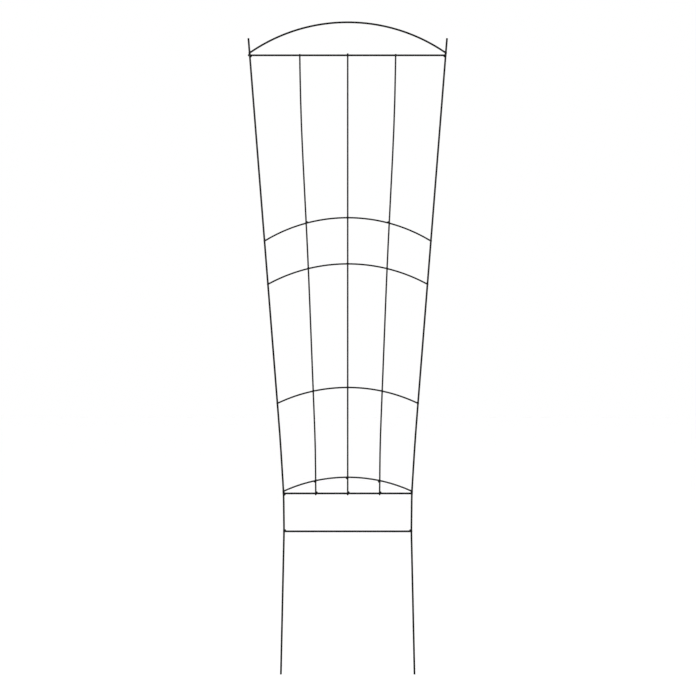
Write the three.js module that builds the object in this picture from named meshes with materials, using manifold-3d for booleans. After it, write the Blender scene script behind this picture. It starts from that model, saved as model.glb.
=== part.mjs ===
// A garden trellis of round black steel wire, 1.83 m tall and 0.56 m wide, welded at every crossing.
// Millimetres, +Z up. The origin is on the ground line, midway between the tips of the two legs.
// The legs and the inner uprights are the front layer (towards -Y). The arch, the bows and the
// crossbars are the rear layer (towards +Y). The two layers touch at y = 0.
import * as THREE from "three";
import { mergeVertices } from "three/addons/utils/BufferGeometryUtils.js";
import Module from "manifold-3d";

const wasm = await Module();
wasm.setup();

// Wire diameters, and how two wires meet at a weld
const frameWire = 5.26; // legs, arch and crossbars
const latticeWire = 4.5; // inner uprights and bows
const setDown = 0.5; // how deep the two wires of a weld are pressed into each other
const clearance = 0.3; // gap left between neighbouring solids
const flashReach = 1.2; // how far weld metal shows past the corner of two crossing wires
const flashDepth = 2; // half the thickness of the weld metal, front to rear
const beadRadius = 2.6; // a larger bead of weld metal, where one was left in a corner
const beadInset = 0.8; // from the edges of the two wires to the middle of such a bead

// Heights of the rear wires, each from the one below it
const footBarHeight = 400.3; // ground to foot crossbar
const waistLength = 106.2; // foot crossbar to lower crossbar
const lowerBowStep = 252.4; // lower crossbar to the ends of the lower bow
const middleBowStep = 333.5; // ends of the lower bow to the ends of the middle bow
const upperBowStep = 121.1; // ends of the middle bow to the ends of the upper bow
const topBarStep = 520; // ends of the upper bow to the top crossbar
const legOverTopBar = 47.6; // top crossbar to the cut tops of the legs

// How far each bowed wire rises from its ends to its middle
const bottomBowRise = 39.2;
const lowerBowRise = 44.4;
const middleBowRise = 57;
const upperBowRise = 65.2;
const archRise = 85.7;

// Half of the distance between the two legs, axis to axis
const legTopHalf = 278;
const legHipHalf = 188.7; // where the straight taper ends
const legKneeHalf = 179.4; // at the lower crossbar
const legAnkleHalf = 178.2; // at the foot crossbar
const legTipHalf = 187; // at the ground
const hipAboveKnee = 150;
const hipBendLength = 55; // from where a bend starts to the corner that it rounds
const kneeBendLength = 20;
const ankleBendLength = 14;

// Half of the distance between the two outer inner uprights, axis to axis
const uprightTopHalf = 134.3; // at the top crossbar
const uprightChestHalf = 131.6; // where the steep stretch starts
const uprightBellyHalf = 110.8; // where it eases a little
const uprightWaistHalf = 90.5; // where it ends
const uprightFootHalf = 89.4; // at the lower crossbar
const chestBelowTopBar = 166.7;
const bellyBelowTopBar = 577.7;
const waistAboveLowerBar = 133;
const chestBendLength = 120;
const bellyBendLength = 100;
const waistBendLength = 60;

// How far each wire's cut end stands past the wire that it is welded to
const uprightOverTopBar = 0.7;
const centreOverTopBar = 2.7; // the middle upright is cut a little longer
const uprightUnderLowerBar = 2.5;
const archOverrun = 0.4;
const bowOverrun = 0.2;
const crossbarOverrun = 0.3;
const topBarOverrun = 1.4;
const topBarShift = -1.4; // the top crossbar is welded this far to the left

// Facets
const wireSides = 12;
const archSteps = 20;
const bowSteps = 14;
const bendSteps = 3;
const flashSides = 12;
const flashRings = 6;
const beadSides = 8;
const beadRings = 4;

const frameR = frameWire / 2;
const latticeR = latticeWire / 2;

// A wire's route in the upright plane y = depth, as flat curves in (x, z) joined end to end.
// The rings of its tube follow the curves' own parameters, so a straight run has no rings between its ends.
class WirePath extends THREE.Curve {
  constructor(depth, runs) {
    super();
    this.depth = depth;
    this.runs = runs;
    this.steps = runs.reduce((sum, run) => sum + run.steps, 0);
  }

  getPoint(t, target = new THREE.Vector3()) {
    let step = t * this.steps;
    let index = 0;
    while (index < this.runs.length - 1 && step > this.runs[index].steps) {
      step -= this.runs[index].steps;
      index += 1;
    }
    const flat = this.runs[index].curve.getPoint(step / this.runs[index].steps);
    return target.set(flat.x, this.depth, flat.y);
  }

  getUtoTmapping(u) {
    return u;
  }
}

// A wire through a row of corners, each rounded from `bend` before it to `bend` after it.
// The bends turn by a few degrees only, where a quadratic curve lies on the true arc.
// Both ends are lengthened by `extra`.
function bentPath(depth, corners, extra) {
  const places = corners.map((corner) => new THREE.Vector2(corner.x, corner.z));
  const last = places.length - 1;
  const toward = (from, to) => places[to].clone().sub(places[from]).normalize();
  const runs = [];
  let start = places[0].clone().addScaledVector(toward(0, 1), -extra);
  for (let i = 1; i < last; i += 1) {
    const bendStart = places[i].clone().addScaledVector(toward(i, i - 1), corners[i].bend);
    const bendEnd = places[i].clone().addScaledVector(toward(i, i + 1), corners[i].bend);
    runs.push({ curve: new THREE.LineCurve(start, bendStart), steps: 1 });
    const bend = new THREE.QuadraticBezierCurve(bendStart, places[i], bendEnd);
    runs.push({ curve: bend, steps: bendSteps });
    start = bendEnd;
  }
  const end = places[last].clone().addScaledVector(toward(last - 1, last), extra);
  runs.push({ curve: new THREE.LineCurve(start, end), steps: 1 });
  return new WirePath(depth, runs);
}

// A bowed wire: an arc whose axis is at height `seat` at x = -half and x = half, and `rise` higher midway.
// Its ends lie `past` beyond those two places, along the arc.
function bowPath(depth, half, seat, rise, past, steps) {
  const radius = (half * half + rise * rise) / (2 * rise);
  const centre = seat + rise - radius;
  const reach = Math.asin(half / radius) + past / radius;
  const arc = new THREE.EllipseCurve(
    0, centre, radius, radius, Math.PI / 2 + reach, Math.PI / 2 - reach, true,
  );
  return new WirePath(depth, [{ curve: arc, steps }]);
}

function straightPath(depth, from, to) {
  return new WirePath(depth, [{ curve: new THREE.LineCurve(from, to), steps: 1 }]);
}

// The place on a path, as t from 0 to 1, where `above(point)` turns from below zero to above it.
function findOn(path, above) {
  let low = 0;
  let high = 1;
  const halvings = 50;
  for (let i = 0; i < halvings; i += 1) {
    const middle = (low + high) / 2;
    if (above(path.getPoint(middle)) > 0) high = middle;
    else low = middle;
  }
  return (low + high) / 2;
}

function halfWidthAt(path, height) {
  const t = findOn(path, (point) => point.z - height);
  return Math.abs(path.getPoint(t).x);
}

// Solids
function toSolid(geometry) {
  geometry.deleteAttribute("normal");
  geometry.deleteAttribute("uv");
  const merged = mergeVertices(geometry);
  return new wasm.Manifold(
    new wasm.Mesh({
      numProp: 3,
      vertProperties: merged.attributes.position.array,
      triVerts: new Uint32Array(merged.index.array),
    }),
  );
}

function toGeometry(solid) {
  const { vertProperties, triVerts } = solid.getMesh();
  const geometry = new THREE.BufferGeometry();
  geometry.setAttribute("position", new THREE.BufferAttribute(vertProperties, 3));
  geometry.setIndex(new THREE.BufferAttribute(triVerts, 1));
  geometry.computeVertexNormals();
  return geometry;
}

function sweep(path, radius) {
  const round = new THREE.Shape();
  for (let i = 0; i < wireSides; i += 1) {
    const angle = (2 * Math.PI * i) / wireSides;
    const corner = [radius * Math.cos(angle), radius * Math.sin(angle)];
    if (i === 0) round.moveTo(...corner);
    else round.lineTo(...corner);
  }
  return toSolid(
    new THREE.ExtrudeGeometry(round, { steps: path.steps, extrudePath: path }),
  );
}

// A wire has its own solid and its room: the solid grown by the clearance, which its neighbours keep out of.
// `route(extra)` gives its path with both ends lengthened by `extra`.
function makeWire(name, radius, route) {
  return {
    name,
    radius,
    path: route(0),
    solid: sweep(route(0), radius),
    room: sweep(route(clearance), radius + clearance),
  };
}

// Heights of the rear wires' axes at the legs
const footBarZ = footBarHeight;
const lowerBarZ = footBarZ + waistLength;
const lowerBowZ = lowerBarZ + lowerBowStep;
const middleBowZ = lowerBowZ + middleBowStep;
const upperBowZ = middleBowZ + upperBowStep;
const topBarZ = upperBowZ + topBarStep;

// The layers' axes stand apart by both radii, less the set-down.
const depthOf = (radius) => radius - setDown / 2;

// Front layer: legs, mirrored about x = 0
function legPath(side, extra) {
  const splay = Math.atan2(legTipHalf - legAnkleHalf, footBarZ);
  const corners = [
    { x: legTipHalf, z: frameR * Math.sin(splay) },
    { x: legAnkleHalf, z: footBarZ, bend: ankleBendLength },
    { x: legKneeHalf, z: lowerBarZ, bend: kneeBendLength },
    { x: legHipHalf, z: lowerBarZ + hipAboveKnee, bend: hipBendLength },
    { x: legTopHalf, z: topBarZ + legOverTopBar },
  ];
  const placed = corners.map((corner) => ({ ...corner, x: side * corner.x }));
  return bentPath(-depthOf(frameR), placed, extra);
}

// Front layer: inner uprights, with three slow bends each
function uprightPath(side, extra) {
  const corners = [
    { x: uprightFootHalf, z: lowerBarZ - frameR - uprightUnderLowerBar },
    { x: uprightWaistHalf, z: lowerBarZ + waistAboveLowerBar, bend: waistBendLength },
    { x: uprightBellyHalf, z: topBarZ - bellyBelowTopBar, bend: bellyBendLength },
    { x: uprightChestHalf, z: topBarZ - chestBelowTopBar, bend: chestBendLength },
    { x: uprightTopHalf, z: topBarZ + frameR + uprightOverTopBar },
  ];
  const placed = corners.map((corner) => ({ ...corner, x: side * corner.x }));
  return bentPath(-depthOf(latticeR), placed, extra);
}

function centreUprightPath(extra) {
  return straightPath(
    -depthOf(latticeR),
    new THREE.Vector2(0, lowerBarZ - frameR - uprightUnderLowerBar - extra),
    new THREE.Vector2(0, topBarZ + frameR + centreOverTopBar + extra),
  );
}

const leftLeg = makeWire("left_leg", frameR, (extra) => legPath(-1, extra));
const rightLeg = makeWire("right_leg", frameR, (extra) => legPath(1, extra));
const leftUpright = makeWire("left_upright", latticeR, (extra) => uprightPath(-1, extra));
const centreUpright = makeWire("centre_upright", latticeR, centreUprightPath);
const rightUpright = makeWire("right_upright", latticeR, (extra) => uprightPath(1, extra));
const legs = [leftLeg, rightLeg];
const uprights = [leftUpright, centreUpright, rightUpright];

// Rear layer: a straight crossbar reaches `overrun` past the outside of both legs.
function crossbar(name, height, overrun, shift) {
  const half = halfWidthAt(rightLeg.path, height) + frameR + overrun;
  return makeWire(name, frameR, (extra) =>
    straightPath(
      depthOf(frameR),
      new THREE.Vector2(shift - half - extra, height),
      new THREE.Vector2(shift + half + extra, height),
    ),
  );
}

// Rear layer: a bowed wire whose axis crosses the legs' axes at height `seat`
function bow(name, radius, seat, rise, overrun, steps) {
  const half = halfWidthAt(rightLeg.path, seat);
  return makeWire(name, radius, (extra) =>
    bowPath(depthOf(radius), half, seat, rise, frameR + overrun + extra, steps),
  );
}

// The height of a bowed wire's ends where they stand on a crossbar: the lowest corner of each cut end
// clears the bar.
function seatOnBar(barHeight, radius, rise, overrun) {
  const slope = 2 * Math.atan(rise / halfWidthAt(rightLeg.path, barHeight));
  const drop = (frameR + overrun) * Math.sin(slope) + radius * Math.cos(slope);
  return barHeight + frameR + clearance + drop;
}

const bottomBowZ = seatOnBar(lowerBarZ, latticeR, bottomBowRise, bowOverrun);
const archZ = seatOnBar(topBarZ, frameR, archRise, archOverrun);

const footBar = crossbar("foot_crossbar", footBarZ, crossbarOverrun, 0);
const lowerBar = crossbar("lower_crossbar", lowerBarZ, crossbarOverrun, 0);
const bottomBow = bow("bottom_bow", latticeR, bottomBowZ, bottomBowRise, bowOverrun, bowSteps);
const lowerBow = bow("lower_bow", latticeR, lowerBowZ, lowerBowRise, bowOverrun, bowSteps);
const middleBow = bow("middle_bow", latticeR, middleBowZ, middleBowRise, bowOverrun, bowSteps);
const upperBow = bow("upper_bow", latticeR, upperBowZ, upperBowRise, bowOverrun, bowSteps);
const topBar = crossbar("top_crossbar", topBarZ, topBarOverrun, topBarShift);
const arch = bow("top_arch", frameR, archZ, archRise, archOverrun, archSteps);

// Which rear wires each weld of a leg and of an inner upright takes in, from the top down
const legWelds = [
  { place: "top_corner", rear: [arch, topBar] },
  { place: "upper_bow", rear: [upperBow] },
  { place: "middle_bow", rear: [middleBow] },
  { place: "lower_bow", rear: [lowerBow] },
  { place: "waist_corner", rear: [bottomBow, lowerBar] },
  { place: "foot_crossbar", rear: [footBar] },
];
const uprightWelds = [topBar, upperBow, middleBow, lowerBow, bottomBow, lowerBar].map(
  (wire) => ({ place: wire.name, rear: [wire] }),
);

// Corners where the press left a larger bead: beside the front wire (-1 left, 1 right) and below or above
// the rear one (-1, 1)
const beads = [
  { front: leftLeg, rear: topBar, beside: 1, above: -1 },
  { front: rightLeg, rear: topBar, beside: -1, above: -1 },
  { front: leftLeg, rear: lowerBar, beside: 1, above: -1 },
  { front: leftLeg, rear: footBar, beside: 1, above: 1 },
  { front: rightLeg, rear: footBar, beside: -1, above: 1 },
  { front: leftUpright, rear: upperBow, beside: 1, above: 1 },
  { front: rightUpright, rear: upperBow, beside: -1, above: 1 },
  ...uprights.map((front) => ({ front, rear: bottomBow, beside: -1, above: -1 })),
  ...uprights.map((front) => ({ front, rear: lowerBar, beside: 1, above: 1 })),
];

// Where a front wire passes a rear one: the rear wire's height is read at the front wire's own x.
function crossingPoint(front, rear) {
  const t = findOn(front.path, (point) => {
    const across = findOn(rear.path, (other) => other.x - point.x);
    return point.z - rear.path.getPoint(across).z;
  });
  const point = front.path.getPoint(t);
  return new THREE.Vector3(point.x, 0, point.z);
}

function flattenedBall(reach, centre, sides, rings) {
  const ball = new THREE.SphereGeometry(1, sides, rings);
  ball.scale(reach, flashDepth, reach);
  ball.translate(...centre);
  return toSolid(ball);
}

// Weld metal: a flattened ball round the crossing, with a smaller one for each larger bead, cut back from
// the wires. What is left is the collar that was squeezed out between them, with a lobe in each corner.
function weldSolid(front, rearWires) {
  const balls = [];
  for (const rear of rearWires) {
    const crossing = crossingPoint(front, rear);
    const reach = Math.hypot(front.radius, rear.radius) + flashReach;
    balls.push(flattenedBall(reach, crossing, flashSides, flashRings));
    for (const bead of beads.filter((each) => each.front === front && each.rear === rear)) {
      const centre = crossing.clone();
      centre.x += bead.beside * (front.radius + beadInset);
      centre.z += bead.above * (rear.radius + beadInset);
      balls.push(flattenedBall(beadRadius, centre, beadSides, beadRings));
    }
  }
  let metal = balls.reduce((joined, ball) => joined.add(ball));
  for (const wire of [front, ...rearWires]) {
    metal = metal.subtract(wire.room);
  }
  return metal;
}

// Materials
function blackWireFinish() {
  return new THREE.MeshStandardMaterial({ color: 0x1b1b1c, roughness: 0.42, metalness: 0 });
}

function blackWeldFinish() {
  return new THREE.MeshStandardMaterial({ color: 0x161617, roughness: 0.55, metalness: 0 });
}

function addPiece(group, name, solid, material) {
  const mesh = new THREE.Mesh(toGeometry(solid), material);
  mesh.name = name;
  group.add(mesh);
}

function addLayer(name) {
  const layer = new THREE.Group();
  layer.name = name;
  trellis.add(layer);
  return layer;
}

const trellis = new THREE.Group();
trellis.name = "garden_trellis";

const frontLayer = addLayer("front_layer");
for (const wire of [...legs, ...uprights]) {
  addPiece(frontLayer, wire.name, wire.solid, blackWireFinish());
}

// Each rear wire is dented where a front wire was pressed into it.
const rearLayer = addLayer("rear_layer");
for (const wire of [arch, topBar, upperBow, middleBow, lowerBow, bottomBow, lowerBar, footBar]) {
  let solid = wire.solid;
  for (const front of [...legs, ...uprights]) {
    solid = solid.subtract(front.room);
  }
  addPiece(rearLayer, wire.name, solid, blackWireFinish());
}

const weldLayer = addLayer("weld_metal");
for (const leg of legs) {
  for (const weld of legWelds) {
    const solid = weldSolid(leg, weld.rear);
    addPiece(weldLayer, `weld_${leg.name}_${weld.place}`, solid, blackWeldFinish());
  }
}
for (const upright of uprights) {
  for (const weld of uprightWelds) {
    const solid = weldSolid(upright, weld.rear);
    addPiece(weldLayer, `weld_${upright.name}_${weld.place}`, solid, blackWeldFinish());
  }
}

export default trellis;
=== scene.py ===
# A garden trellis of thirteen round steel wires, welded at thirty places and powder coated black.
# Metres, +Z up, the ground at z = 0. The legs and inner uprights are the front layer, towards -Y,
# and the arch, bows and crossbars lie behind them.
import math

import bpy
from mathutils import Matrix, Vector
from mathutils.geometry import intersect_line_line_2d


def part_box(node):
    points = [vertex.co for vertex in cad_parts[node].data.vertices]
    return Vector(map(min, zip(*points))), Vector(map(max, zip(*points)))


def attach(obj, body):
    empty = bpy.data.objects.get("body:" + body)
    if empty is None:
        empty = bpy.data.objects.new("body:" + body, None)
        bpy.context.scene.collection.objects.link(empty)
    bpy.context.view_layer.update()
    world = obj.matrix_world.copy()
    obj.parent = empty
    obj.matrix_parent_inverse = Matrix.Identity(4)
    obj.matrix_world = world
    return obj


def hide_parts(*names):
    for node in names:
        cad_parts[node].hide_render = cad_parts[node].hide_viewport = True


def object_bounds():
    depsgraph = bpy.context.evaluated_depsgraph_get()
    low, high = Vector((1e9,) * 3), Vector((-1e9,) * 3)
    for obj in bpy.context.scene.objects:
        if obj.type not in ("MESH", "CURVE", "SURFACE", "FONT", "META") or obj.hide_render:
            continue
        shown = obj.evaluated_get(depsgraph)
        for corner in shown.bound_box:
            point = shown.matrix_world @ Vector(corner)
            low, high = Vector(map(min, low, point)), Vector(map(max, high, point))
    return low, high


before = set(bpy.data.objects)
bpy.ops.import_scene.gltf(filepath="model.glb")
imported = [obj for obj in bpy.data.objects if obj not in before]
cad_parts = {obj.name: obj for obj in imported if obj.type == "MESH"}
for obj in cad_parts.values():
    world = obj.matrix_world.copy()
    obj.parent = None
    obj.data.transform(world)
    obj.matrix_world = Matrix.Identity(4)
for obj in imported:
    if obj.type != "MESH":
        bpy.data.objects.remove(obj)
cad_low, cad_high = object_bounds()

# Legs: two lengths of cold-drawn steel wire, cut on a shear and bent by a few degrees at hip, knee and
# ankle. The arch, bows and crossbars are welded to their rear. The welded frame is sprayed with powder
# and baked, so one black coat runs over every wire, cut end and weld.
mm = 0.001
coat_black = "#080809"
coat_grey = "#0e0e0f"
coat_ior = 1.5
coat_roughness = (0.3, 0.38)
cloud_size = 45 * mm
cloud_detail = 3
peel_size = 1.6 * mm
peel_height = 0.025 * mm
peel_detail = 1
grain_size = 0.35 * mm
grain_height = 0.003 * mm
grain_detail = 0
noise_range = (0.3, 0.7)  # where most of a noise's values lie
ring_spacing = 4 * mm
wire_sides = 24
edge_rounding = 0.55 * mm
edge_rings = 4
bend_smoothing = 6
ridge_tolerance = 0.01 * mm
place_digits = 6  # to a thousandth of a millimetre
wires = {}  # each wire's radius and the points of its axis, kept for the welds


def to_linear(colour):
    """An sRGB hex colour as linear red, green, blue and a full alpha."""
    parts = [int(colour[i:i + 2], 16) / 255 for i in (1, 3, 5)]
    return (*[p / 12.92 if p <= 0.04045 else ((p + 0.055) / 1.055) ** 2.4 for p in parts], 1)


def add_node(tree, kind, inputs=None, **settings):
    """Adds a node. `inputs` maps a socket's name or number to a value, to another node's output, or to
    another node, which stands for its first output in use."""
    node = tree.nodes.new(kind)
    for name, value in settings.items():
        setattr(node, name, value)
    for key, value in (inputs or {}).items():
        named = [socket for socket in node.inputs if socket.enabled and socket.name == key]
        socket = named[0] if named else node.inputs[key]
        if isinstance(value, bpy.types.Node):
            value = next(output for output in value.outputs if output.enabled)
        if isinstance(value, bpy.types.NodeSocket):
            tree.links.new(value, socket)
        else:
            socket.default_value = value
    return node


def empty_tree(owner):
    """The node tree of a new material or world, with nothing in it."""
    owner.use_nodes = True
    owner.node_tree.nodes.clear()
    return owner.node_tree


def black_powder_coat():
    """Polyester powder, baked to a satin skin. Its black and its gloss drift a little along a wire, and a
    faint orange peel and a fine grain break up the long highlight."""
    material = bpy.data.materials.new("black_powder_coat_satin")
    tree = empty_tree(material)
    place = add_node(tree, "ShaderNodeTexCoord").outputs["Object"]
    cloud = add_node(tree, "ShaderNodeTexNoise", {
        "Vector": place, "Scale": 1 / cloud_size, "Detail": cloud_detail,
    })
    colour = add_node(tree, "ShaderNodeMix", {
        "Factor": cloud, "A": to_linear(coat_black), "B": to_linear(coat_grey),
    }, data_type="RGBA")
    gloss = add_node(tree, "ShaderNodeMapRange", {
        "Value": cloud, "From Min": noise_range[0], "From Max": noise_range[1],
        "To Min": coat_roughness[0], "To Max": coat_roughness[1],
    })
    peel = add_node(tree, "ShaderNodeTexNoise", {
        "Vector": place, "Scale": 1 / peel_size, "Detail": peel_detail,
    })
    grain = add_node(tree, "ShaderNodeTexNoise", {
        "Vector": place, "Scale": 1 / grain_size, "Detail": grain_detail,
    })
    level = add_node(tree, "ShaderNodeBump", {"Height": peel, "Distance": peel_height})
    fine = add_node(tree, "ShaderNodeBump", {"Height": grain, "Distance": grain_height, "Normal": level})
    shader = add_node(tree, "ShaderNodeBsdfPrincipled", {
        "Base Color": colour, "Roughness": gloss, "IOR": coat_ior, "Normal": fine,
    })
    add_node(tree, "ShaderNodeOutputMaterial", {"Surface": shader})
    return material


wire_coat = black_powder_coat()


def new_tree(name, sockets):
    """A Geometry Nodes tree that takes a mesh and the named sizes, and the sockets that give them."""
    tree = bpy.data.node_groups.new(name, "GeometryNodeTree")
    tree.interface.new_socket("Geometry", in_out="INPUT", socket_type="NodeSocketGeometry")
    for label, kind in sockets:
        tree.interface.new_socket(label, in_out="INPUT", socket_type="NodeSocket" + kind)
    tree.interface.new_socket("Geometry", in_out="OUTPUT", socket_type="NodeSocketGeometry")
    return tree, add_node(tree, "NodeGroupInput").outputs


def end_tree(tree, geometry, material):
    """Ends a tree in smooth shading, Realize Instances and Set Material."""
    smooth = add_node(tree, "GeometryNodeSetShadeSmooth", {"Geometry": geometry})
    real = add_node(tree, "GeometryNodeRealizeInstances", {"Geometry": smooth})
    dressed = add_node(tree, "GeometryNodeSetMaterial", {"Geometry": real, "Material": material})
    add_node(tree, "NodeGroupOutput", {"Geometry": dressed})


def round_wire_tree():
    """Sweeps a round section along a line. The rings at each end draw in over the cut's rounded edge."""
    tree, given = new_tree("round_wire_along_its_line", [
        ("Radius", "Float"), ("Ring Spacing", "Float"), ("Sides", "Int"), ("Smoothing", "Int"),
        ("Edge Rounding", "Float"), ("Edge Rings", "Int"), ("Material", "Material"),
    ])
    line = add_node(tree, "GeometryNodeMeshToCurve", {"Mesh": given["Geometry"]})
    even = add_node(tree, "GeometryNodeResampleCurve", {
        "Curve": line, "Length": given["Ring Spacing"],
    }, mode="LENGTH")
    position = add_node(tree, "GeometryNodeInputPosition")
    eased = add_node(tree, "GeometryNodeBlurAttribute", {
        "Value": position, "Iterations": given["Smoothing"],
    }, data_type="FLOAT_VECTOR")
    tips = add_node(tree, "GeometryNodeCurveEndpointSelection")
    inner = add_node(tree, "FunctionNodeBooleanMath", {0: tips}, operation="NOT")
    bent = add_node(tree, "GeometryNodeSetPosition", {
        "Geometry": even, "Selection": inner, "Position": eased,
    })

    # Rings counted from either end, turned into an angle round the edge: 0 on the cut face, a quarter
    # turn where the edge meets the side.
    from_start = add_node(tree, "GeometryNodeSplineParameter").outputs["Index"]
    spline = add_node(tree, "GeometryNodeSplineLength").outputs
    last = add_node(tree, "ShaderNodeMath", {0: spline["Point Count"], 1: 1}, operation="SUBTRACT")
    from_end = add_node(tree, "ShaderNodeMath", {0: last, 1: from_start}, operation="SUBTRACT")
    nearest = add_node(tree, "ShaderNodeMath", {0: from_start, 1: from_end}, operation="MINIMUM")
    turn = add_node(tree, "ShaderNodeMapRange", {
        "Value": nearest, "From Max": given["Edge Rings"], "To Max": math.pi / 2,
    })
    cosine = add_node(tree, "ShaderNodeMath", {0: turn}, operation="COSINE")
    sine = add_node(tree, "ShaderNodeMath", {0: turn}, operation="SINE")

    # The ring's place along the wire
    depth = add_node(tree, "ShaderNodeMapRange", {
        "Value": cosine, "To Min": given["Edge Rounding"], "To Max": 0,
    })
    far_depth = add_node(tree, "ShaderNodeMath", {0: spline["Length"], 1: depth}, operation="SUBTRACT")
    at_end = add_node(tree, "ShaderNodeMath", {0: from_end, 1: from_start}, operation="LESS_THAN")
    along = add_node(tree, "GeometryNodeSwitch", {
        "Switch": at_end, "False": depth, "True": far_depth,
    }, input_type="FLOAT")
    sampled = add_node(tree, "GeometryNodeSampleCurve", {
        "Curves": bent, "Length": along,
    }, mode="LENGTH", use_all_curves=True).outputs["Position"]
    at_edge = add_node(tree, "FunctionNodeCompare", {
        "A": nearest, "B": given["Edge Rings"],
    }, data_type="INT", operation="LESS_EQUAL")
    edged = add_node(tree, "GeometryNodeSetPosition", {
        "Geometry": bent, "Selection": at_edge, "Position": sampled,
    })

    # The ring's radius
    face_radius = add_node(tree, "ShaderNodeMath", {
        0: given["Radius"], 1: given["Edge Rounding"],
    }, operation="SUBTRACT")
    ring_radius = add_node(tree, "ShaderNodeMapRange", {
        "Value": sine, "To Min": face_radius, "To Max": given["Radius"],
    })
    section = add_node(tree, "GeometryNodeCurvePrimitiveCircle", {"Resolution": given["Sides"]})
    tube = add_node(tree, "GeometryNodeCurveToMesh", {
        "Curve": edged, "Profile Curve": section, "Scale": ring_radius, "Fill Caps": True,
    })
    end_tree(tree, tube, given["Material"])
    return tree


round_wire = round_wire_tree()


def cad_line(node):
    """A wire's radius, and the points of its axis in order, read from the ridge of its CAD solid that no
    weld has dented."""
    low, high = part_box(node)
    radius = (high.y - low.y) / 2
    ridge = low.y if -low.y > high.y else high.y
    corners = [v.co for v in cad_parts[node].data.vertices if abs(v.co.y - ridge) < ridge_tolerance]
    places = {(round(corner.x, place_digits), round(corner.z, place_digits)) for corner in corners}
    upright = high.z - low.z > high.x - low.x
    ordered = sorted(places, key=lambda place: place[1] if upright else place[0])
    return radius, [Vector((x, low.y + radius, z)) for x, z in ordered]


def line_mesh(name, *lines):
    """A mesh of loose edges along the lines, with the number of its line stored on each point."""
    points = [point for line in lines for point in line]
    numbers = [number for number, line in enumerate(lines) for _ in line]
    edges = [(i, i + 1) for i in range(len(points) - 1) if numbers[i] == numbers[i + 1]]
    mesh = bpy.data.meshes.new(name)
    mesh.from_pydata(points, edges, [])
    mesh.attributes.new("line", "INT", "POINT").data.foreach_set("value", numbers)
    return mesh


def grow(name, mesh, tree, sizes):
    """Runs a tree on a mesh and returns the result as a plain mesh object."""
    source = bpy.data.objects.new(name + "_line", mesh)
    bpy.context.scene.collection.objects.link(source)
    modifier = source.modifiers.new("grow", "NODES")
    modifier.node_group = tree
    for label, value in sizes.items():
        modifier[tree.interface.items_tree[label].identifier] = value
    seen = source.evaluated_get(bpy.context.evaluated_depsgraph_get())
    made = bpy.data.objects.new(name, bpy.data.meshes.new_from_object(seen))
    bpy.data.objects.remove(source)
    bpy.context.scene.collection.objects.link(made)
    return made


def dress(piece, node):
    """The piece stands for a CAD node: it joins the root body, and the CAD node is hidden."""
    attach(piece, "root")
    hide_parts(node)


def make_wire(node, shape=list):
    """The coated wire that stands for a CAD wire. `shape` refines the points of its axis."""
    radius, points = cad_line(node)
    line = shape(points)
    wires[node] = (radius, line)
    piece = grow(node + "_wire", line_mesh(node, line), round_wire, {
        "Radius": radius, "Ring Spacing": ring_spacing, "Sides": wire_sides, "Smoothing": bend_smoothing,
        "Edge Rounding": edge_rounding, "Edge Rings": edge_rings, "Material": wire_coat,
    })
    dress(piece, node)


legs = ("left_leg", "right_leg")
for leg in legs:
    make_wire(leg)

# Inner uprights: three thinner wires in the same layer as the legs. The outer two are set in a slow
# S-bend that follows the taper of the frame, and the middle one is straight. Each is cut just past
# the two crossbars that it is welded to.
uprights = ("left_upright", "centre_upright", "right_upright")
for upright in uprights:
    make_wire(upright)

# Arch and bows: five wires rolled to a round curve, a thick one that closes the top and four thinner
# ones below it. They lie behind the uprights and end flush with the outside of the legs.
arc_steps = 160


def round_arc(points):
    """The circular arc through a rolled wire's two ends and its crest."""
    start, crest, end = points[0], points[len(points) // 2], points[-1]
    half = (end.x - start.x) / 2
    rise = crest.z - start.z
    radius = (half ** 2 + rise ** 2) / (2 * rise)
    half_turn = math.asin(half / radius)
    turns = [half_turn * (2 * i / arc_steps - 1) for i in range(arc_steps + 1)]
    middle = Vector(((start.x + end.x) / 2, start.y, crest.z - radius))
    return [middle + radius * Vector((math.sin(turn), 0, math.cos(turn))) for turn in turns]


for bow in ("top_arch", "upper_bow", "middle_bow", "lower_bow", "bottom_bow"):
    make_wire(bow, round_arc)

# Crossbars: three straight lengths of the thick wire. The top one closes the arch, the lower one
# carries the feet of the inner uprights, and the foot one braces the legs just above the soil.
for bar in ("top_crossbar", "lower_crossbar", "foot_crossbar"):
    make_wire(bar)

# Welds: each crossing is pressed between two electrodes until the wires sink half a millimetre into
# each other, and the metal squeezed out freezes as a collar in the four corners. Powder pools in
# those corners, so the baked coat rounds them off. Some corners keep a larger bead.
weld_black = "#080809"
weld_grey = "#111112"
weld_roughness = (0.36, 0.5)
lump_size = 1.4 * mm
lump_height = 0.05 * mm
lump_detail = 3
lump_sharpness = 0.6
fillet_size = 6.5 * mm
weld_reach = 5 * mm
skin_depth = 0.25 * mm
unevenness = 0.55 * mm
uneven_size = 3.5 * mm
noise_middle = 0.5
bead_radius = 2.4 * mm
bead_offset = 0.9 * mm  # from the sides of both wires to the middle of a bead
bead_blend = 2.5 * mm
axis_step = 1 * mm
axis_reach = 20 * mm  # how far from its crossing a wire's axis is followed
no_wire_distance = 1.0  # stands in for a second rear wire where a weld has only one
voxel_size = 0.3 * mm
band_voxels = 4
skin_density = 0.5
block_margin = Vector((weld_reach, 3 * mm, weld_reach))  # of the voxels' block round the CAD weld
leg_places = {
    "top_corner": ("top_arch", "top_crossbar"),
    "upper_bow": ("upper_bow",),
    "middle_bow": ("middle_bow",),
    "lower_bow": ("lower_bow",),
    "waist_corner": ("bottom_bow", "lower_crossbar"),
    "foot_crossbar": ("foot_crossbar",),
}
upright_places = ("top_crossbar", "upper_bow", "middle_bow", "lower_bow", "bottom_bow", "lower_crossbar")

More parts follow.
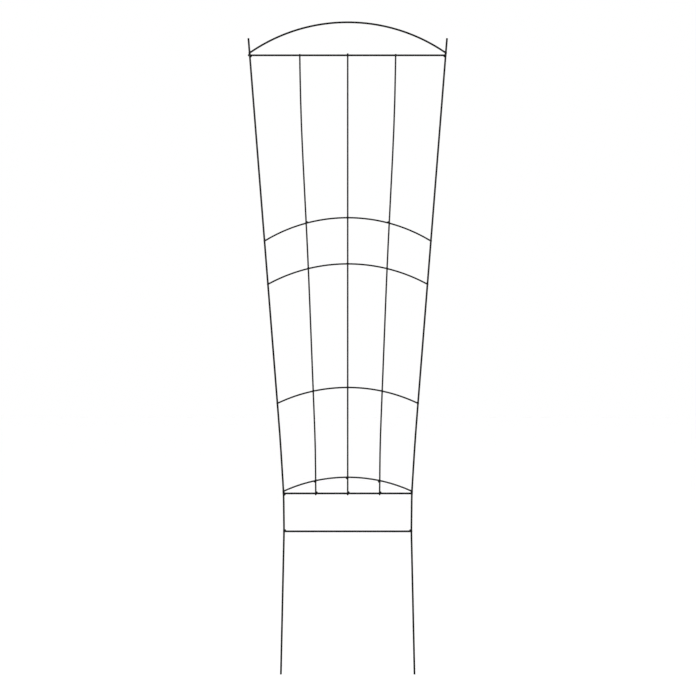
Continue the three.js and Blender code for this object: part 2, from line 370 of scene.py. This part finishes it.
# The larger beads: the front wire and the place of the weld, then the rear wire, the side of the front
# wire (-1 left, 1 right) and the side of the rear one (-1 below, 1 above)
beads = {
    ("left_leg", "top_corner"): ("top_crossbar", 1, -1),
    ("right_leg", "top_corner"): ("top_crossbar", -1, -1),
    ("left_leg", "waist_corner"): ("lower_crossbar", 1, -1),
    ("left_leg", "foot_crossbar"): ("foot_crossbar", 1, 1),
    ("right_leg", "foot_crossbar"): ("foot_crossbar", -1, 1),
    ("left_upright", "upper_bow"): ("upper_bow", 1, 1),
    ("right_upright", "upper_bow"): ("upper_bow", -1, 1),
}
for upright in uprights:
    beads[upright, "bottom_bow"] = ("bottom_bow", -1, -1)
    beads[upright, "lower_crossbar"] = ("lower_crossbar", 1, 1)


def pooled_powder_coat():
    """The same powder over weld metal: thicker in the corners, lumpy from the frozen splash below it,
    and a little duller than on the drawn wire."""
    material = bpy.data.materials.new("black_powder_coat_over_weld")
    tree = empty_tree(material)
    place = add_node(tree, "ShaderNodeTexCoord").outputs["Object"]
    lumps = add_node(tree, "ShaderNodeTexNoise", {
        "Vector": place, "Scale": 1 / lump_size, "Detail": lump_detail, "Roughness": lump_sharpness,
    })
    colour = add_node(tree, "ShaderNodeMix", {
        "Factor": lumps, "A": to_linear(weld_black), "B": to_linear(weld_grey),
    }, data_type="RGBA")
    gloss = add_node(tree, "ShaderNodeMapRange", {
        "Value": lumps, "From Min": noise_range[0], "From Max": noise_range[1],
        "To Min": weld_roughness[0], "To Max": weld_roughness[1],
    })
    bump = add_node(tree, "ShaderNodeBump", {"Height": lumps, "Distance": lump_height})
    shader = add_node(tree, "ShaderNodeBsdfPrincipled", {
        "Base Color": colour, "Roughness": gloss, "IOR": coat_ior, "Normal": bump,
    })
    add_node(tree, "ShaderNodeOutputMaterial", {"Surface": shader})
    return material


weld_coat = pooled_powder_coat()


def weld_metal_tree():
    """Fills the corners between crossing wires. Line 0 is the front wire's axis and lines 1 and 2 those of
    the rear wires. The metal is the smooth union of the wires where they come near each other, and it
    dips under the wires' skin further out."""
    tree, given = new_tree("weld_metal_round_a_crossing", [
        ("Front Radius", "Float"), ("First Rear Radius", "Float"), ("Second Rear Radius", "Float"),
        ("Fillet Size", "Float"), ("Reach", "Float"), ("Skin Depth", "Float"), ("Voxel Size", "Float"),
        ("Unevenness", "Float"), ("Uneven Size", "Float"), ("Seed", "Int"),
        ("Has Bead", "Bool"), ("Bead Centre", "Vector"), ("Bead Radius", "Float"), ("Bead Blend", "Float"),
        ("Lowest Corner", "Vector"), ("Highest Corner", "Vector"), ("Material", "Material"),
    ])
    position = add_node(tree, "GeometryNodeInputPosition")
    number = add_node(tree, "GeometryNodeInputNamedAttribute", {"Name": "line"}, data_type="INT")

    def height_over_wire(line, radius):
        """How far a place lies outside a wire's skin, and a long way where the weld has no such line."""
        near = add_node(tree, "GeometryNodeProximity", {
            "Geometry": given["Geometry"], "Group ID": number,
            "Sample Position": position, "Sample Group ID": line,
        }, target_element="EDGES").outputs
        there = add_node(tree, "ShaderNodeMath", {
            0: near["Distance"], 1: radius,
        }, operation="SUBTRACT")
        return add_node(tree, "GeometryNodeSwitch", {
            "Switch": near["Is Valid"], "False": no_wire_distance, "True": there,
        }, input_type="FLOAT")

    front = height_over_wire(0, given["Front Radius"])
    first = height_over_wire(1, given["First Rear Radius"])
    second = height_over_wire(2, given["Second Rear Radius"])
    nearer = add_node(tree, "ShaderNodeMath", {0: first, 1: second}, operation="MINIMUM")
    apart = add_node(tree, "ShaderNodeMath", {0: front, 1: nearer}, operation="MAXIMUM")

    # Uneven all over, as frozen splash is
    pitch = add_node(tree, "ShaderNodeMath", {0: 1, 1: given["Uneven Size"]}, operation="DIVIDE")
    noise = add_node(tree, "ShaderNodeTexNoise", {
        "Vector": position, "W": given["Seed"], "Scale": pitch,
    }, noise_dimensions="4D")
    centred = add_node(tree, "ShaderNodeMath", {0: noise, 1: noise_middle}, operation="SUBTRACT")
    swell = add_node(tree, "ShaderNodeMath", {0: centred, 1: given["Unevenness"]}, operation="MULTIPLY")

    # The wires' smooth union, which swells at the crossing and sinks into their skin towards its reach
    rear = add_node(tree, "ShaderNodeMath", {
        0: first, 1: second, 2: given["Fillet Size"],
    }, operation="SMOOTH_MIN")
    joined = add_node(tree, "ShaderNodeMath", {
        0: front, 1: rear, 2: given["Fillet Size"],
    }, operation="SMOOTH_MIN")
    fade = add_node(tree, "ShaderNodeMapRange", {
        "Value": apart, "From Max": given["Reach"],
    }, interpolation_type="SMOOTHSTEP")
    closeness = add_node(tree, "ShaderNodeMath", {0: 1, 1: fade}, operation="SUBTRACT")
    swollen = add_node(tree, "ShaderNodeMath", {0: swell, 1: closeness}, operation="MULTIPLY")
    sunk = add_node(tree, "ShaderNodeMath", {0: fade, 1: given["Skin Depth"]}, operation="MULTIPLY")
    raised = add_node(tree, "ShaderNodeMath", {0: joined, 1: swollen}, operation="SUBTRACT")
    metal = add_node(tree, "ShaderNodeMath", {0: raised, 1: sunk}, operation="ADD")
    beyond = add_node(tree, "ShaderNodeMath", {0: apart, 1: given["Reach"]}, operation="SUBTRACT")
    ended = add_node(tree, "ShaderNodeMath", {0: metal, 1: beyond}, operation="MAXIMUM")

    # The larger bead in one corner
    from_bead = add_node(tree, "ShaderNodeVectorMath", {
        0: position, 1: given["Bead Centre"],
    }, operation="DISTANCE")
    ball = add_node(tree, "ShaderNodeMath", {0: from_bead, 1: given["Bead Radius"]}, operation="SUBTRACT")
    bead = add_node(tree, "ShaderNodeMath", {0: ball, 1: swell}, operation="SUBTRACT")
    beaded = add_node(tree, "ShaderNodeMath", {
        0: ended, 1: bead, 2: given["Bead Blend"],
    }, operation="SMOOTH_MIN")
    surface = add_node(tree, "GeometryNodeSwitch", {
        "Switch": given["Has Bead"], "False": ended, "True": beaded,
    }, input_type="FLOAT")

    # A block of voxels round the crossing, dense inside the surface
    band = add_node(tree, "ShaderNodeMath", {0: given["Voxel Size"], 1: band_voxels}, operation="MULTIPLY")
    inside = add_node(tree, "ShaderNodeMath", {0: band, 1: -1}, operation="MULTIPLY")
    density = add_node(tree, "ShaderNodeMapRange", {
        "Value": surface, "From Min": inside, "From Max": band, "To Min": 1, "To Max": 0,
    })
    size = add_node(tree, "ShaderNodeVectorMath", {
        0: given["Highest Corner"], 1: given["Lowest Corner"],
    }, operation="SUBTRACT")
    voxels = add_node(tree, "ShaderNodeVectorMath", {0: size, 1: given["Voxel Size"]}, operation="DIVIDE")
    count = add_node(tree, "ShaderNodeSeparateXYZ", {0: voxels}).outputs
    block = add_node(tree, "GeometryNodeVolumeCube", {
        "Density": density, "Min": given["Lowest Corner"], "Max": given["Highest Corner"],
        "Resolution X": count["X"], "Resolution Y": count["Y"], "Resolution Z": count["Z"],
    })
    skin = add_node(tree, "GeometryNodeVolumeToMesh", {"Volume": block, "Threshold": skin_density})
    end_tree(tree, skin, given["Material"])
    return tree


weld_metal = weld_metal_tree()


def crossing(front, rear):
    """Where two wires' axes cross, seen from the front, midway between them."""
    for a, b in zip(front, front[1:]):
        for c, d in zip(rear, rear[1:]):
            met = intersect_line_line_2d(a.xz, b.xz, c.xz, d.xz)
            if met:
                return Vector((met.x, 0, met.y))
    raise ValueError("these two wires don't cross")


def finer(line):
    """The same line with a point at least every `axis_step`."""
    points = [line[0]]
    for a, b in zip(line, line[1:]):
        steps = max(1, math.ceil((b - a).length / axis_step))
        points += [a.lerp(b, i / steps) for i in range(1, steps + 1)]
    return points


def near_by(line, places, radius):
    """The stretch of an axis that passes near the places, ending its own radius short of any cut end."""
    start, end = line[0], line[-1]
    trimmed = [start + (line[1] - start).normalized() * radius, *line[1:-1]]
    trimmed.append(end + (line[-2] - end).normalized() * radius)
    return [p for p in finer(trimmed) if min((p - place).length for place in places) < axis_reach]


def make_weld(front_node, place, rear_nodes, seed):
    """The weld metal of one crossing, or of two that lie together."""
    node = f"weld_{front_node}_{place}"
    low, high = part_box(node)
    front_radius, front = wires[front_node]
    rears = [wires[rear] for rear in rear_nodes]
    places = [crossing(front, line) for _, line in rears]
    lines = [near_by(front, places, front_radius)]
    lines += [near_by(line, places, radius) for radius, line in rears]
    bead = beads.get((front_node, place))
    centre = Vector()
    if bead:
        rear_node, beside, above = bead
        rear_radius, line = wires[rear_node]
        centre = crossing(front, line)
        centre.x += beside * (front_radius + bead_offset)
        centre.z += above * (rear_radius + bead_offset)
    piece = grow(node + "_metal", line_mesh(node, *lines), weld_metal, {
        "Front Radius": front_radius, "First Rear Radius": rears[0][0], "Second Rear Radius": rears[-1][0],
        "Fillet Size": fillet_size, "Reach": weld_reach, "Skin Depth": skin_depth,
        "Voxel Size": voxel_size, "Unevenness": unevenness, "Uneven Size": uneven_size, "Seed": seed,
        "Has Bead": bead is not None, "Bead Centre": centre, "Bead Radius": bead_radius,
        "Bead Blend": bead_blend, "Lowest Corner": low - block_margin,
        "Highest Corner": high + block_margin, "Material": weld_coat,
    })
    dress(piece, node)


welds = [(leg, place, rear_nodes) for leg in legs for place, rear_nodes in leg_places.items()]
welds += [(upright, place, (place,)) for upright in uprights for place in upright_places]
for seed, (front_node, place, rear_nodes) in enumerate(welds, 1):
    make_weld(front_node, place, rear_nodes, seed)

# Studio: a wide pale floor in an evenly lit white room, a soft box high up on each side, and a long
# lens straight in front. To the camera the room is white. The coat mirrors white straight behind the
# trellis. On all other sides the room and the floor are painted dark in its reflections only, a
# painted dark reflection.
white = "#ffffff"
black = "#000000"
room_light = 0.9
# painted dark reflection: the room and the floor as the coat mirrors them on the camera's side
painted_reflection_dark = 0.04
backdrop_edge = (0.9, 0.99)  # how far a reflected direction points to the rear, from painted dark to white
painted_floor_reflection_edge = (0.0, 1.6)  # how far behind the trellis a reflected floor point lies, from painted dark to white
floor_radius = 40
floor_sides = 64
floor_colour = "#e6e6e6"
floor_roughness = 0.8
floor_whitening = 0.35
box_width = 0.5
box_height = 0.9
box_place = (2.6, -2.0, 1.7)
box_watts = 12
image_size = 696
metres_per_pixel = 2.8 * mm
object_column = 347.7  # where the middle of the trellis stands in the picture
ground_row = 674.35  # and the tips of its legs
lens = 200  # this and the sensor are in millimetres, as the camera takes them
sensor = 36
far_clip = 200

scene = bpy.context.scene
scene.view_settings.view_transform = "Standard"


def painted_reflection_level(tree, coordinates, edge):
    """How bright the coat mirrors the room: a painted dark reflection on this side of the edge, white
    beyond.
    """
    place = add_node(tree, "ShaderNodeTexCoord").outputs[coordinates]
    rearward = add_node(tree, "ShaderNodeSeparateXYZ", {0: place}).outputs["Y"]
    return add_node(tree, "ShaderNodeMapRange", {
        "Value": rearward, "From Min": edge[0], "From Max": edge[1], "To Min": painted_reflection_dark,
    }, interpolation_type="SMOOTHSTEP")


def light_room():
    """The white room: full white to the camera, and an even and slightly softer light on the trellis."""
    scene.world = bpy.data.worlds.new("white_room")
    tree = empty_tree(scene.world)
    ray = add_node(tree, "ShaderNodeLightPath").outputs
    # painted dark reflection: to glossy rays the room is dark except straight behind the trellis
    mirrored = painted_reflection_level(tree, "Generated", backdrop_edge)
    lighting = add_node(tree, "ShaderNodeMix", {
        "Factor": ray["Is Glossy Ray"], "A": room_light, "B": mirrored,
    })
    clear = add_node(tree, "ShaderNodeMath", {
        0: ray["Is Camera Ray"], 1: ray["Is Transmission Ray"],
    }, operation="MAXIMUM")
    strength = add_node(tree, "ShaderNodeMix", {"Factor": clear, "A": lighting, "B": 1})
    background = add_node(tree, "ShaderNodeBackground", {
        "Color": to_linear(white), "Strength": strength,
    })
    add_node(tree, "ShaderNodeOutputWorld", {"Surface": background})


def pale_floor_paint():
    """Matt pale grey paint. It is lifted to just white where it is looked at, and not in the light that it
    casts on the trellis. In the coat's reflections it is painted black on the camera's side, a painted
    dark reflection."""
    material = bpy.data.materials.new("pale_floor_paint")
    tree = empty_tree(material)
    ray = add_node(tree, "ShaderNodeLightPath").outputs
    # painted dark reflection: to glossy rays the floor is black on the camera's side of the trellis
    mirrored = painted_reflection_level(tree, "Object", painted_floor_reflection_edge)
    painted_reflection_factor = add_node(tree, "ShaderNodeMix", {"Factor": ray["Is Glossy Ray"], "A": 1, "B": mirrored})
    colour = add_node(tree, "ShaderNodeMix", {
        "Factor": painted_reflection_factor, "A": to_linear(black), "B": to_linear(floor_colour),
    }, data_type="RGBA")
    clear = add_node(tree, "ShaderNodeMath", {
        0: ray["Is Camera Ray"], 1: ray["Is Transmission Ray"],
    }, operation="MAXIMUM")
    seen = add_node(tree, "ShaderNodeMath", {0: clear, 1: ray["Is Glossy Ray"]}, operation="MAXIMUM")
    lift = add_node(tree, "ShaderNodeMath", {0: seen, 1: floor_whitening}, operation="MULTIPLY")
    lifted = add_node(tree, "ShaderNodeMath", {0: lift, 1: painted_reflection_factor}, operation="MULTIPLY")
    shader = add_node(tree, "ShaderNodeBsdfPrincipled", {
        "Base Color": colour, "Roughness": floor_roughness,
        "Emission Color": to_linear(white), "Emission Strength": lifted,
    })
    add_node(tree, "ShaderNodeOutputMaterial", {"Surface": shader})
    return material


light_room()

floor_mesh = bpy.data.meshes.new("floor")
turns = [2 * math.pi * i / floor_sides for i in range(floor_sides)]
rim = [(floor_radius * math.cos(turn), floor_radius * math.sin(turn), 0) for turn in turns]
floor_mesh.from_pydata(rim, [], [list(range(floor_sides))])
floor_mesh.materials.append(pale_floor_paint())
floor = bpy.data.objects.new("floor", floor_mesh)
scene.collection.objects.link(floor)

for name, side in (("left_box", -1), ("right_box", 1)):
    lamp = bpy.data.lights.new(name, "AREA")
    lamp.shape = "RECTANGLE"
    lamp.size = box_width
    lamp.size_y = box_height
    lamp.energy = box_watts
    box = bpy.data.objects.new(name, lamp)
    box.location = (side * box_place[0], box_place[1], box_place[2])
    aim = Vector((0, 0, (cad_low.z + cad_high.z) / 2)) - box.location
    box.rotation_euler = aim.to_track_quat("-Z", "Y").to_euler()
    scene.collection.objects.link(box)

camera_data = bpy.data.cameras.new("camera")
camera_data.lens = lens
camera_data.sensor_width = sensor
camera_data.clip_end = far_clip
camera = bpy.data.objects.new("camera", camera_data)
camera.location = (
    (image_size / 2 - object_column) * metres_per_pixel,
    -image_size * metres_per_pixel * lens / sensor,
    (ground_row - image_size / 2) * metres_per_pixel,
)
camera.rotation_euler = (math.pi / 2, 0, 0)
scene.collection.objects.link(camera)
scene.camera = camera
